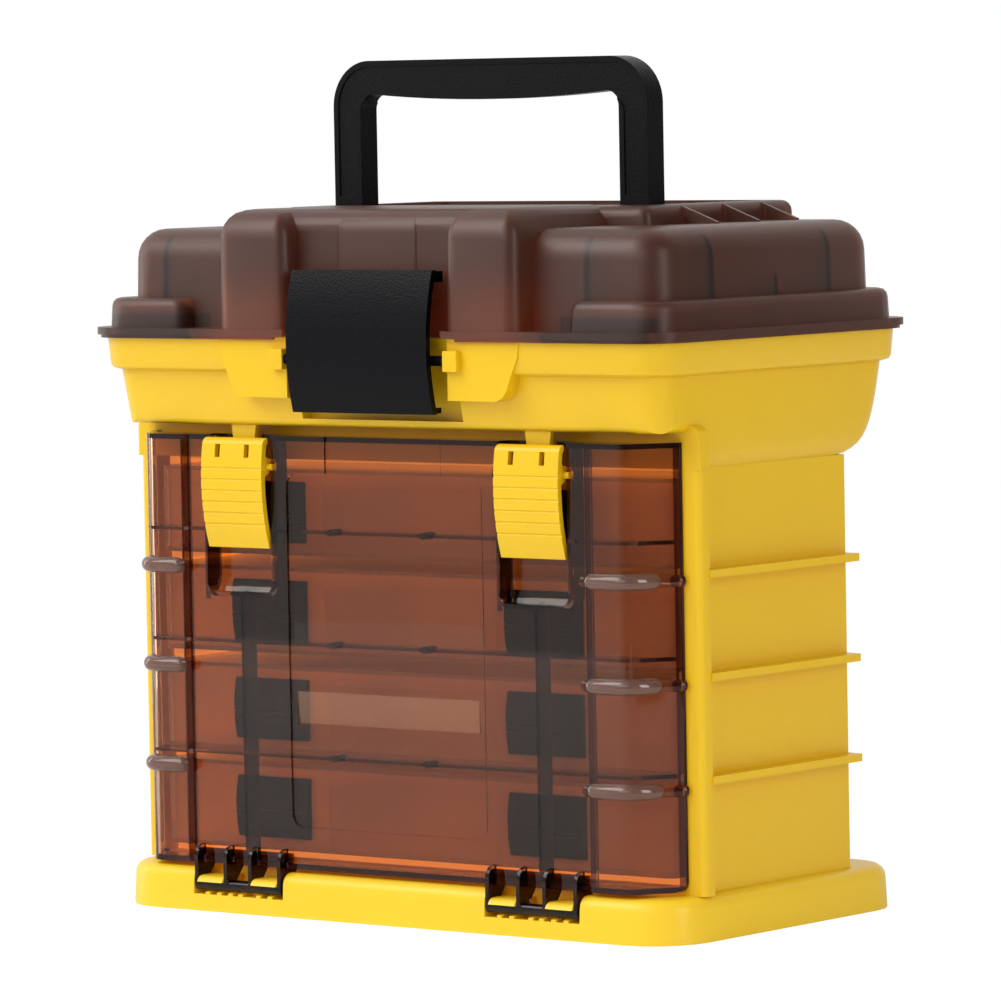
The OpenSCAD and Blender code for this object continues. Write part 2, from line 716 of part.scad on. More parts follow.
// Edge points of the door's right half, seen from above: [x, forward, outward x, outward forward]
door_edge = concat(
    [[column_x, door_y, -1, 1], [column_x + 0.8, column_y, -1, 1]],
    [for (a = [0 : 15 : 60]) [column_x + 15 + 6 * sin(a), column_y - 6 + 6 * cos(a), sin(a), cos(a)]],
    [[door_x - 5.7, door_y - 8.4, 0.84, 0.62], [door_x - 2.2, door_y - 12.4, 0.84, 0.62],
     [door_x - 0.6, door_y - 13.8, 0.9, 0.5], [door_x, door_y - 15.2, 1, 0.2], [door_x, case_front - 4, 1, 0]]);

// The same points, drawn in by i
function door_side_points(i) = [for (p = door_edge) [p[0] - i * p[2], p[1] - i * p[3]]];

module door_plan(i) {
    half = door_side_points(i);
    n = len(half);
    difference() {
        polygon(concat(half, [for (k = [n - 1 : -1 : 0]) [-half[k][0], half[k][1]]]));
        translate([-2 * door_x, 0]) square([4 * door_x, case_front + gap]);
    }
}

module door_slab(i, z0, z1) {
    translate([0, 0, z0]) mirror([0, 1, 0]) linear_extrude(z1 - z0) door_plan(i);
}

// The door seen from the front, with its lower corners rounded
module door_front() {
    translate([0, (door_bottom + door_top) / 2]) plate(2 * door_x, door_top - door_bottom, door_r);
    translate([-door_x, door_top - 20]) square([2 * door_x, 20]);
}

module drop_door() color(smoke) {
    difference() {
        union() {
            difference() {
                intersection() {
                    door_slab(0, door_bottom, door_top);
                    rotate([90, 0, 0]) linear_extrude(flange_d) door_front();
                }
                door_slab(door_wall, door_bottom + door_wall, door_top - door_wall);
                // the bottom and top walls are shallow between the columns, so that the boxes clear them
                intersection() {
                    translate([-box_x - 1.2, -rib_edge_y, 0]) cube([2 * box_x + 2.4, 12, 2 * door_top]);
                    door_slab(door_wall, 0, 2 * door_top);
                }
            }
            both_sides() latch_pocket(door_wall);
            intersection() {
                door_ribs();
                door_slab(1, 0, door_top);
            }
            // the moulding's gate
            translate([0, -door_y + 1, rail_z + 34]) rotate([90, 0, 0]) cylinder(h = 0.9, r = 2.2);
        }
        both_sides() latch_pocket(0);
        both_sides() for (x = [pocket_x0, pocket_x1])
            pivot_rod(x - 2.4, x + 2.4, dlatch_y, dlatch_z, dlatch_r + pivot_gap);
        // notches in the top edge for the bin's arms
        both_sides() translate([dlatch_x - arm_w / 2 - 1.8, -arm_y - 0.6, arm_bottom - 2.2]) cube([arm_w + 3.6, 12, 20]);
        panel_recess();
    }
    both_sides() half_round_ribs();
    both_sides() translate([hinge_x, 0, 0]) hinge_webs();
}

module latch_pocket(skin) {
    width = pocket_x1 - pocket_x0 + 2 * skin;
    y_front = skin > 0 ? door_y : door_y + 6;
    top = skin > 0 ? door_top : door_top + 5;
    intersection() {
        along_x(pocket_x0 - skin, pocket_x1 + skin) polygon([
            [y_front, pocket_bottom - skin], [pocket_y - skin + 3, pocket_bottom - skin],
            [pocket_y - skin, pocket_bottom + 5 - skin], [pocket_y - skin, top], [y_front, top]]);
        // the lower corners are round, seen from the front
        translate([dlatch_x, 0, pocket_bottom - skin + flange_d / 2]) rotate([90, 0, 0])
            linear_extrude(flange_d) plate(width, flange_d, 3 + skin);
    }
}

module panel_recess() {
    depth = 0.7;
    translate([0, -door_y + depth, 0]) rotate([90, 0, 0]) linear_extrude(6) {
        translate([0, door_bottom + 80.6]) plate(91, 130, 5);
        translate([-27, door_top - 26]) square([54, 60]);
    }
    // finger groove across the panel
    along_x(-42.5, 42.5) translate([door_y, door_bottom + 53.6])
        polygon([[1, 12], [-depth, 12], [-depth - 0.9, 0], [1, 0]]);
}

module door_ribs() {
    for (z = [41.3, 82.8, 124])
        translate([-door_x + 1, -column_y + 1, door_bottom + z - 0.6]) cube([2 * door_x - 2, column_y - 1 - rib_edge_y, 1.2]);
    both_sides() translate([dlatch_x - 0.7, -door_y + 1, door_bottom + 0.5])
        cube([1.4, door_y - 1 - rib_edge_y, pocket_bottom - door_bottom]);
}

// Bands of half-round section, which follow a column round its corner
module half_round_ribs() {
    inner = door_side_points(1);
    n = len(inner) - 2;
    for (z = [36.2, 73.4, 110.4]) translate([0, 0, door_bottom + z])
        skin_over([for (a = [-90 : 22.5 : 90])
            let (outer = door_side_points(-1.9 * cos(a)))
            concat([for (k = [1 : n]) [outer[k][0], -outer[k][1], 2.2 * sin(a)]],
                   [for (k = [n : -1 : 1]) [inner[k][0], -inner[k][1], 2.2 * sin(a)]])]);
}

// Webs from the door's bottom edge down to the hinge bar
module hinge_webs() {
    end = hook_x + hook_w + 0.3 + web_t;
    for (x = [-end, -hook_x + 0.3, hook_x - 0.3 - web_t, end - web_t]) along_x(x, x + web_t) {
        translate([hinge_y, hinge_z]) circle(hinge_r);
        polygon([[hinge_y - hinge_r, hinge_z], [hinge_y + hinge_r, hinge_z], [hinge_y + hinge_r, door_bottom + 3],
                 [hinge_y + hinge_r - 0.6, door_bottom + 5], [hinge_y + hinge_r - 2, door_bottom + 6.6],
                 [door_y - 0.5, door_bottom + 7.4], [door_y - 0.9, door_bottom + 1.5],
                 [rib_edge_y + 3.6, door_bottom + 1.5], [rib_edge_y + 3.6, base_h + 1]]);
    }
    pivot_rod(-end, end, hinge_y, hinge_z, hinge_r);
}

// ---------- door latches ----------

module door_latch() color(yellow) {
    half = dlatch_w / 2;
    difference() {
        along_x(-half, half) difference() {
            polygon(concat(dlatch_outline(0), dlatch_back(dlatch_wall)));
            // grip grooves
            for (i = [0 : 5]) let (z = dlatch_bottom + 8.6 + i * 4.15)
                translate([dlatch_face(0, z) + 0.15, z]) circle(0.5, $fn = 16);
        }
        // the two slots
        for (x = [-8.2, 5.8]) translate([x, -dlatch_front - 5, dlatch_top - 7.2]) cube([2.4, 20, 4.8]);
    }
    for (x = [-half + 0.4, half - 2.8]) along_x(x, x + 2.4) polygon([
        [dlatch_y + 3, dlatch_z - 4], [dlatch_y + 3, dlatch_z + 5],
        [dlatch_y - 1.6, dlatch_z + 1.4], [dlatch_y - 1.6, dlatch_z - 1.6]]);
    both_sides() pivot_rod(half - 2.6, half + 2.2, dlatch_y, dlatch_z, dlatch_r);
}

// Front face of a door latch at the height z, with i the face drawn in
function dlatch_face(i, z) =
    dlatch_front - dlatch_curve + sqrt(pow(dlatch_curve - i, 2) - pow(z - dlatch_top + 15.6, 2));

// Side view of the latch from its bottom edge up and over its rolled top, then back down inside
function dlatch_outline(i) = let (e = dlatch_edge) concat(
    [for (k = [0 : 20]) let (z = dlatch_bottom + k * (dlatch_h - e) / 20) [dlatch_face(i, z), z]],
    [for (a = [15 : 15 : 90]) [dlatch_face(i, dlatch_top - e) - (e - i) * (1 - cos(a)), dlatch_top - e + (e - i) * sin(a)]]);
function dlatch_back(i) = let (p = dlatch_outline(i)) [for (k = [len(p) - 1 : -1 : 0]) p[k]];

// ---------- organiser boxes ----------

module at_box(n) {
    translate([0, 0, box_z + n * box_pitch]) children();
}

module box_tray() color(clear) {
    difference() {
        translate([0, box_mid_y, 0]) linear_extrude(tray_h) plate(2 * box_x, box_plan_d, 4);
        difference() {
            translate([0, box_mid_y, box_wall]) linear_extrude(tray_h)
                plate(2 * (box_x - box_wall), box_plan_d - 2 * box_wall, 3);
            tray_walls();
        }
    }
}

// A long wall that makes two rows
module tray_walls() {
    translate([-box_x, box_mid_y - inner_t / 2, 0]) cube([2 * box_x, inner_t, tray_h - 1]);
}

// Two dividers in the front row and one in the rear row
module box_dividers() color(clear) {
    row = box_plan_d / 2 - box_wall - inner_t / 2 - 2 * gap;
    for (x = [-box_x / 3, box_x / 3]) translate([x - inner_t / 2, -box_front + box_wall + gap, box_wall + gap])
        cube([inner_t, row, tray_h - box_wall - 1.6]);
    translate([-inner_t / 2, box_mid_y + inner_t / 2 + gap, box_wall + gap])
        cube([inner_t, row, tray_h - box_wall - 1.6]);
}

module box_cover() color(clear) {
    translate([0, 0, tray_h]) difference() {
        translate([0, box_mid_y, 0]) linear_extrude(cover_h) plate(2 * box_x, box_plan_d, 4);
        translate([0, box_mid_y, -1]) linear_extrude(cover_h - box_wall + 1)
            plate(2 * (box_x - box_wall), box_plan_d - 2 * box_wall, 3);
    }
}

module box_latch() color(black) {
    clip_curve = 40;
    clip_front = box_front + gap + 2.8;
    along_x(-clip_w / 2, clip_w / 2) difference() {
        intersection() {
            translate([clip_front - clip_curve, box_h / 2]) circle(clip_curve, $fn = 180);
            translate([box_front + gap, (box_h - clip_h) / 2]) square([6, clip_h]);
        }
        // grip grooves
        for (i = [0 : 3]) translate([clip_front + 0.1, (box_h - clip_h) / 2 + 3.4 + i * 2.4]) circle(0.6, $fn = 16);
    }
}

base_plinth();
cabinet_shell();
top_bin();
lid_hinge_pins();
lid_cover();
carry_handle();
main_latch();
drop_door();
translate([-dlatch_x, 0, 0]) door_latch();  // door_latch_left
translate([dlatch_x, 0, 0]) door_latch();  // door_latch_right
at_box(0) box_tray();  // box_1_tray
at_box(0) box_cover();  // box_1_cover
at_box(0) translate([-clip_x, 0, 0]) box_latch();  // box_1_latch_left
at_box(0) translate([clip_x, 0, 0]) box_latch();  // box_1_latch_right
at_box(0) box_dividers();  // box_1_dividers
at_box(1) box_tray();  // box_2_tray
at_box(1) box_cover();  // box_2_cover
at_box(1) translate([-clip_x, 0, 0]) box_latch();  // box_2_latch_left
at_box(1) translate([clip_x, 0, 0]) box_latch();  // box_2_latch_right
at_box(1) box_dividers();  // box_2_dividers
at_box(2) box_tray();  // box_3_tray
at_box(2) box_cover();  // box_3_cover
at_box(2) translate([-clip_x, 0, 0]) box_latch();  // box_3_latch_left
at_box(2) translate([clip_x, 0, 0]) box_latch();  // box_3_latch_right
at_box(2) box_dividers();  // box_3_dividers
at_box(3) box_tray();  // box_4_tray
at_box(3) box_cover();  // box_4_cover
at_box(3) translate([-clip_x, 0, 0]) box_latch();  // box_4_latch_left
at_box(3) translate([clip_x, 0, 0]) box_latch();  // box_4_latch_right
at_box(3) box_dividers();  // box_4_dividers
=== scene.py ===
"""Looks of the fishing tackle cabinet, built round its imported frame.

Every length is in metres in the frame's own axes: +X right, -Y front, +Z up.
Finishes are written for the real plastics and for how their moulds were cut.
"""

from __future__ import annotations

import json
import logging
import math
from dataclasses import dataclass, field
from enum import Enum
from typing import Any, Iterable, Mapping, Optional

import bmesh
import bpy
from mathutils import Matrix, Vector

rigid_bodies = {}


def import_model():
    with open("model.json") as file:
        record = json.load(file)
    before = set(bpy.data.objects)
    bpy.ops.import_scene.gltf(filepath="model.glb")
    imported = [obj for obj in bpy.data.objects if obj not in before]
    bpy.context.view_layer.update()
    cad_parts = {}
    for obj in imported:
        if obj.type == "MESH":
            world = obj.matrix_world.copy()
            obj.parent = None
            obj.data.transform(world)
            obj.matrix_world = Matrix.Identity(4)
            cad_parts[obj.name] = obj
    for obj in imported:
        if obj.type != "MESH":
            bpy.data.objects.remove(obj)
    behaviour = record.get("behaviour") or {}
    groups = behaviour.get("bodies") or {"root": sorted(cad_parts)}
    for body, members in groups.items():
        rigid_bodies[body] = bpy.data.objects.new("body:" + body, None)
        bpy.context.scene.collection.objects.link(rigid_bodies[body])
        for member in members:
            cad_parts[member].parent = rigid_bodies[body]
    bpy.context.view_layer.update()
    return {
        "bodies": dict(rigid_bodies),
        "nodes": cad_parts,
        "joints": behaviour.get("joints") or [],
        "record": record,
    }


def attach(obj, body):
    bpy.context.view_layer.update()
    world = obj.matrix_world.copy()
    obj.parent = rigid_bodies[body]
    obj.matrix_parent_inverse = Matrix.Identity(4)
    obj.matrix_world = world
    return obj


LOG = logging.getLogger("tackle_cabinet")
Colour = tuple[float, float, float, float]

# Edges that turn more than this are rounded, where a piece gets rounded edges.
ROUND_ABOVE_DEG = 50
# Edges that turn more than this stay sharp in the shading.
SHARP_ABOVE_DEG = 32
ROUND_SEGMENTS = 3
WELD_DISTANCE = 0.00001
# How far the normals of wide faces outweigh those of narrow ones.
WIDE_FACE_WEIGHT = 100

# How often per metre the pigment drifts, and how far light goes in yellow plastic for red, green and blue.
FLOW_PER_METRE = 14.0
GLOW_REACH = (0.004, 0.0025, 0.0006)
# Height of a grain as a share of its size.
GRAIN_RISE = 0.25
NOISE_DETAIL = 2.0


class MouldFace(Enum):
    """How the steel of the mould was finished, as (grain size in metres, depth of the bump)."""

    POLISHED = (0.0, 0.0)
    STONED = (0.0016, 0.05)
    SPARK_ERODED = (0.0007, 0.22)
    ETCHED_LEATHER = (0.0007, 1.0)

    @property
    def grain(self) -> float:
        """Size of one grain in metres."""
        return self.value[0]

    @property
    def depth(self) -> float:
        """Strength of the bump, 0 to 1."""
        return self.value[1]


def linear(code: str, alpha: float = 1.0) -> Colour:
    """Turns an sRGB hex colour into Blender's linear one.

    Args:
        code: Colour as "#rrggbb".
        alpha: Fourth value of the result.

    Returns:
        The linear red, green, blue and alpha.
    """

    def one(text: str) -> float:
        v = int(text, 16) / 255
        return v / 12.92 if v <= 0.04045 else ((v + 0.055) / 1.055) ** 2.4

    return one(code[1:3]), one(code[3:5]), one(code[5:7]), alpha


def add_node(
    tree: bpy.types.NodeTree,
    kind: str,
    settings: Optional[Mapping[str, Any]] = None,
    inputs: Optional[Mapping[Any, Any]] = None,
) -> bpy.types.Node:
    """Adds one shader node with its settings, values and links.

    Args:
        tree: Node tree that gets the node.
        kind: Blender's type name of the node.
        settings: Properties of the node itself.
        inputs: For each input's name or number, a value, or the socket that feeds it.

    Returns:
        The new node.
    """
    node = tree.nodes.new(kind)
    for name, value in (settings or {}).items():
        setattr(node, name, value)
    for name, value in (inputs or {}).items():
        socket = node.inputs[name]
        if isinstance(value, bpy.types.NodeSocket):
            tree.links.new(value, socket)
        else:
            socket.default_value = value
    return node


def empty_material(name: str) -> tuple[bpy.types.Material, bpy.types.NodeTree, bpy.types.Node]:
    """Makes a material that holds only an output node.

    Args:
        name: Name of the material.

    Returns:
        The material, its node tree and its output node.
    """
    material = bpy.data.materials.new(name)
    material.use_nodes = True
    tree = material.node_tree
    tree.nodes.clear()
    return material, tree, add_node(tree, "ShaderNodeOutputMaterial")


def grain_normal(
    tree: bpy.types.NodeTree, face: MouldFace, within: Optional[tuple[float, float]] = None
) -> Optional[bpy.types.NodeSocket]:
    """Adds the fine relief that a mould's face leaves in the plastic.

    Args:
        tree: Node tree of the material.
        face: Finish of the mould.
        within: Middle and reach along Y, in metres, of the faces that are grained, or None for all.

    Returns:
        The bump's normal, or None for a polished mould.
    """
    if face is MouldFace.POLISHED:
        return None
    place = add_node(tree, "ShaderNodeTexCoord").outputs["Object"]
    noise = {"Vector": place, "Scale": 1 / face.grain, "Detail": NOISE_DETAIL}
    grain = add_node(tree, "ShaderNodeTexNoise", None, noise)
    height = grain.outputs["Fac"]
    if within is not None:
        along_y = add_node(tree, "ShaderNodeSeparateXYZ", None, {"Vector": place}).outputs["Y"]
        sunk = add_node(
            tree, "ShaderNodeMath", {"operation": "COMPARE"}, {0: along_y, 1: within[0], 2: within[1]}
        )
        height = add_node(
            tree, "ShaderNodeMath", {"operation": "MULTIPLY"}, {0: height, 1: sunk.outputs["Value"]}
        ).outputs["Value"]
    bump = add_node(
        tree,
        "ShaderNodeBump",
        None,
        {"Height": height, "Strength": face.depth, "Distance": face.grain * GRAIN_RISE},
    )
    return bump.outputs["Normal"]


@dataclass(frozen=True)
class Slab:
    """A box of space in an object's own axes, in metres, which a finish treats in its own way.

    Its middle and reach are along X, Y and Z. Soft is half the width of its faded edge. Where both_sides is
    set, the box is mirrored across X = 0.
    """

    middle: tuple[float, float, float]
    reach: tuple[float, float, float]
    soft: float = 0.0
    both_sides: bool = True

    def mask(self, tree: bpy.types.NodeTree) -> bpy.types.NodeSocket:
        """Adds the nodes that tell whether a point lies inside.

        Args:
            tree: Node tree of the material.

        Returns:
            A socket that is 1 inside and 0 outside.
        """
        place = add_node(tree, "ShaderNodeTexCoord").outputs["Object"]
        axes = add_node(tree, "ShaderNodeSeparateXYZ", None, {"Vector": place})
        across = axes.outputs["X"]
        if self.both_sides:
            across = add_node(tree, "ShaderNodeMath", {"operation": "ABSOLUTE"}, {0: across}).outputs["Value"]
        inside: bpy.types.NodeSocket | float = 1.0
        values = (across, axes.outputs["Y"], axes.outputs["Z"])
        for value, middle, reach in zip(values, self.middle, self.reach):
            near = self.near(tree, value, middle, reach)
            both = add_node(tree, "ShaderNodeMath", {"operation": "MULTIPLY"}, {0: inside, 1: near})
            inside = both.outputs["Value"]
        return inside

    def near(
        self, tree: bpy.types.NodeTree, value: bpy.types.NodeSocket, middle: float, reach: float
    ) -> bpy.types.NodeSocket:
        """Adds the nodes that tell whether one coordinate lies inside.

        Args:
            tree: Node tree of the material.
            value: The coordinate.
            middle: Middle of the span.
            reach: Half of the span.

        Returns:
            A socket that is 1 inside and 0 outside, with a soft edge if the slab has one.
        """
        if self.soft <= 0:
            span = {0: value, 1: middle, 2: reach}
            return add_node(tree, "ShaderNodeMath", {"operation": "COMPARE"}, span).outputs["Value"]
        offset = add_node(tree, "ShaderNodeMath", {"operation": "SUBTRACT"}, {0: value, 1: middle})
        away = add_node(tree, "ShaderNodeMath", {"operation": "ABSOLUTE"}, {0: offset.outputs["Value"]})
        fade = {
            "Value": away.outputs["Value"],
            "From Min": max(reach - self.soft, 0.0),
            "From Max": reach + self.soft,
            "To Min": 1.0,
            "To Max": 0.0,
        }
        return add_node(
            tree, "ShaderNodeMapRange", {"interpolation_type": "SMOOTHSTEP"}, fade
        ).outputs["Result"]


@dataclass(frozen=True)
class OpaquePlastic:
    """An injection-moulded plastic that hides what is behind it."""

    name: str
    colour: str
    shade: str
    roughness: float
    ior: float
    face: MouldFace
    glow: float = 0.0
    gloss: float = 0.5
    grain_within: Optional[tuple[float, float]] = None
    # painted glow: the slab where an emission stands in for light coming through the wall, with its colour and
    # strength
    painted_glow: Optional[Slab] = None
    painted_glow_colour: str = "#dc9a48"
    painted_glow_strength: float = 1.2

    def build(self) -> bpy.types.Material:
        """Builds the material, with a slight drift of colour where the melt flowed.

        Where grain_within is set, as (middle, reach) along Y in metres, only the faces inside it are grained.
        Inside the slab of the painted glow, the faces get an emission that stands in for the daylight coming
        through the thin wall: painted light, not a lamp.

        Returns:
            The material.
        """
        material, tree, output = empty_material(self.name)
        place = add_node(tree, "ShaderNodeTexCoord").outputs["Object"]
        noise = {"Vector": place, "Scale": FLOW_PER_METRE, "Detail": NOISE_DETAIL}
        flow = add_node(tree, "ShaderNodeTexNoise", None, noise)
        tone = add_node(
            tree,
            "ShaderNodeMix",
            {"data_type": "RGBA"},
            {"Factor": flow.outputs["Fac"], "A": linear(self.shade), "B": linear(self.colour)},
        )
        values: dict[Any, Any] = {
            "Base Color": tone.outputs["Result"],
            "Roughness": self.roughness,
            "IOR": self.ior,
            "Specular IOR Level": self.gloss,
            "Subsurface Weight": self.glow,
            "Subsurface Radius": GLOW_REACH,
            "Subsurface Scale": 1.0,
        }
        # painted light: an emission inside the slab, standing in for daylight through the thin wall
        if self.painted_glow is not None:
            shine = {0: self.painted_glow.mask(tree), 1: self.painted_glow_strength}
            strength = add_node(tree, "ShaderNodeMath", {"operation": "MULTIPLY"}, shine)
            values["Emission Color"] = linear(self.painted_glow_colour)
            values["Emission Strength"] = strength.outputs["Value"]
        normal = grain_normal(tree, self.face, self.grain_within)
        if normal is not None:
            values["Normal"] = normal
        plastic = add_node(tree, "ShaderNodeBsdfPrincipled", None, values)
        tree.links.new(plastic.outputs["BSDF"], output.inputs["Surface"])
        return material


@dataclass(frozen=True)
class ClearPlastic:
    """A see-through plastic, smoked or natural, that lets the lamps through.

    Its tint is what the eye sees, and passed is what the lamps keep on their way through. Zones are parts of it
    with a tint of their own, such as the ribs behind it, or with painted glow and painted shade, and the later
    ones lie over the earlier ones.
    """

    name: str
    tint: str
    passed: str
    roughness: float
    ior: float
    clarity: float
    face: MouldFace
    zones: tuple[tuple[Slab, str], ...] = ()
    frosted: Optional[Slab] = None
    frosted_clarity: float = 0.86

    def build(self) -> bpy.types.Material:
        """Builds the material: tinted glass to the eye, and a tinted film to the lamps.

        Returns:
            The material.
        """
        material, tree, output = empty_material(self.name)
        tint: bpy.types.NodeSocket | Colour = linear(self.tint)
        for zone, colour in self.zones:
            mixed_tint = add_node(
                tree,
                "ShaderNodeMix",
                {"data_type": "RGBA"},
                {"Factor": zone.mask(tree), "A": tint, "B": linear(colour)},
            )
            tint = mixed_tint.outputs["Result"]
        clarity: bpy.types.NodeSocket | float = self.clarity
        if self.frosted is not None:
            span = {"Value": self.frosted.mask(tree), "To Min": self.clarity, "To Max": self.frosted_clarity}
            clarity = add_node(tree, "ShaderNodeMapRange", None, span).outputs["Result"]
        values: dict[Any, Any] = {
            "Base Color": tint,
            "Roughness": self.roughness,
            "IOR": self.ior,
            "Transmission Weight": clarity,
        }
        normal = grain_normal(tree, self.face)
        if normal is not None:
            values["Normal"] = normal
        body = add_node(tree, "ShaderNodeBsdfPrincipled", None, values)
        film = add_node(tree, "ShaderNodeBsdfTransparent", None, {"Color": linear(self.passed)})
        rays = add_node(tree, "ShaderNodeLightPath")
        mixed = add_node(
            tree,
            "ShaderNodeMixShader",
            None,
            {0: rays.outputs["Is Shadow Ray"], 1: body.outputs["BSDF"], 2: film.outputs["BSDF"]},
        )
        tree.links.new(mixed.outputs["Shader"], output.inputs["Surface"])
        return material


@dataclass(frozen=True)
class DrawnSteel:
    """Bright drawn steel wire, as in the lid's hinge pins."""

    name: str = "drawn_steel"
    colour: str = "#b9bcc0"
    roughness: float = 0.3
    marks_per_metre: float = 900.0
    mark_strength: float = 0.1
    mark_depth: float = 0.00005

    def build(self) -> bpy.types.Material:
        """Builds the material, with fine marks round the wire.

        Returns:
            The material.
        """
        material, tree, output = empty_material(self.name)
        place = add_node(tree, "ShaderNodeTexCoord").outputs["Object"]
        marks = add_node(tree, "ShaderNodeTexNoise", None, {"Vector": place, "Scale": self.marks_per_metre})
        relief = {"Height": marks.outputs["Fac"], "Strength": self.mark_strength, "Distance": self.mark_depth}
        bump = add_node(tree, "ShaderNodeBump", None, relief)
        metal = add_node(
            tree,
            "ShaderNodeBsdfPrincipled",
            None,
            {
                "Base Color": linear(self.colour),
                "Metallic": 1.0,
                "Roughness": self.roughness,
                "Normal": bump.outputs["Normal"],
            },
        )
        tree.links.new(metal.outputs["BSDF"], output.inputs["Surface"])
        return material


# Where the eye meets the door's clear plastic edge-on, through ribs and walls, it looks nearly black.
DOOR_RIB_TINT = "#3a2226"
DOOR_RIB_HEIGHTS = (0.0587, 0.1002, 0.1414)
DOOR_ZONES = tuple(
    (slab, DOOR_RIB_TINT)
    for slab in (
        *(Slab((0.0, -0.0605, z), (0.124, 0.006, 0.0007)) for z in DOOR_RIB_HEIGHTS),
        # the upright rib under each pocket
        Slab((0.0686, -0.0605, 0.068), (0.0009, 0.006, 0.051)),
        # the door's bottom and top walls, and its right side wall
        Slab((0.0, -0.062, 0.0182), (0.124, 0.010, 0.0011)),
        Slab((0.0, -0.062, 0.1757), (0.124, 0.010, 0.0011)),
        Slab((0.1228, -0.060, 0.097), (0.0012, 0.012, 0.080), both_sides=False),
        # the side walls of the pockets and of the columns
        Slab((0.0849, -0.0635, 0.1466), (0.0012, 0.0045, 0.031)),
        Slab((0.0523, -0.0635, 0.1466), (0.0012, 0.0045, 0.031)),
        Slab((0.0932, -0.0690, 0.097), (0.0011, 0.0024, 0.078)),
        # the webs and the bar of the hinges
        Slab((0.0686, -0.0680, 0.0148), (0.0225, 0.008, 0.0082)),
    )
)

# painted glow: warm tint for the bin's yellow light at the foot of the lid's ridges
LID_FOOT_PAINTED_GLOW = "#a8623c"
# painted shade: darker tint for the corner tiers, where little light comes through
LID_TIER_PAINTED_SHADE = "#54382d"
LID_RIB_TINT = "#2c1b16"
LID_ZONES = (
    # painted glow: the foot of the front ridges is tinted warmer and lighter for the yellow light from the bin
    (Slab((0.0, -0.0720, 0.2180), (0.0750, 0.0200, 0.0120), 0.0120), LID_FOOT_PAINTED_GLOW),
    # painted shade: the corner tiers are tinted darker, where the bin's band behind them keeps the light out
    (Slab((0.1045, 0.0, 0.2120), (0.0230, 0.0800, 0.0090), 0.0010), LID_TIER_PAINTED_SHADE),
    # the inner ribs show through the frosted walls as soft dark lines: on the front and the tiers
    (Slab((0.0930, -0.0640, 0.2300), (0.0012, 0.0060, 0.0190), 0.0012, False), LID_RIB_TINT),
    (Slab((-0.1035, -0.0640, 0.2300), (0.0012, 0.0060, 0.0190), 0.0012, False), LID_RIB_TINT),
    (Slab((0.0975, -0.0680, 0.2120), (0.0010, 0.0060, 0.0060), 0.0010), LID_RIB_TINT),
    # and on the sides
    (Slab((0.1220, -0.0344, 0.2300), (0.0060, 0.0013, 0.0190), 0.0013), LID_RIB_TINT),
    (Slab((0.1220, 0.0040, 0.2230), (0.0060, 0.0010, 0.0110), 0.0010), LID_RIB_TINT),
    (Slab((0.1220, 0.0368, 0.2300), (0.0060, 0.0013, 0.0190), 0.0013), LID_RIB_TINT),
)

# The thin walls of the shell between the plinth and the bin, which get a painted glow: an emission that stands
# in for the daylight coming through them.
SHELL_PAINTED_GLOW = Slab((0.0, 0.0, 0.092), (0.1218, 0.0445, 0.0745))
# The face of the finger groove across the door's panel.
GROOVE_FACE = Slab((0.0, -0.0672, 0.077), (0.0425, 0.0006, 0.006))


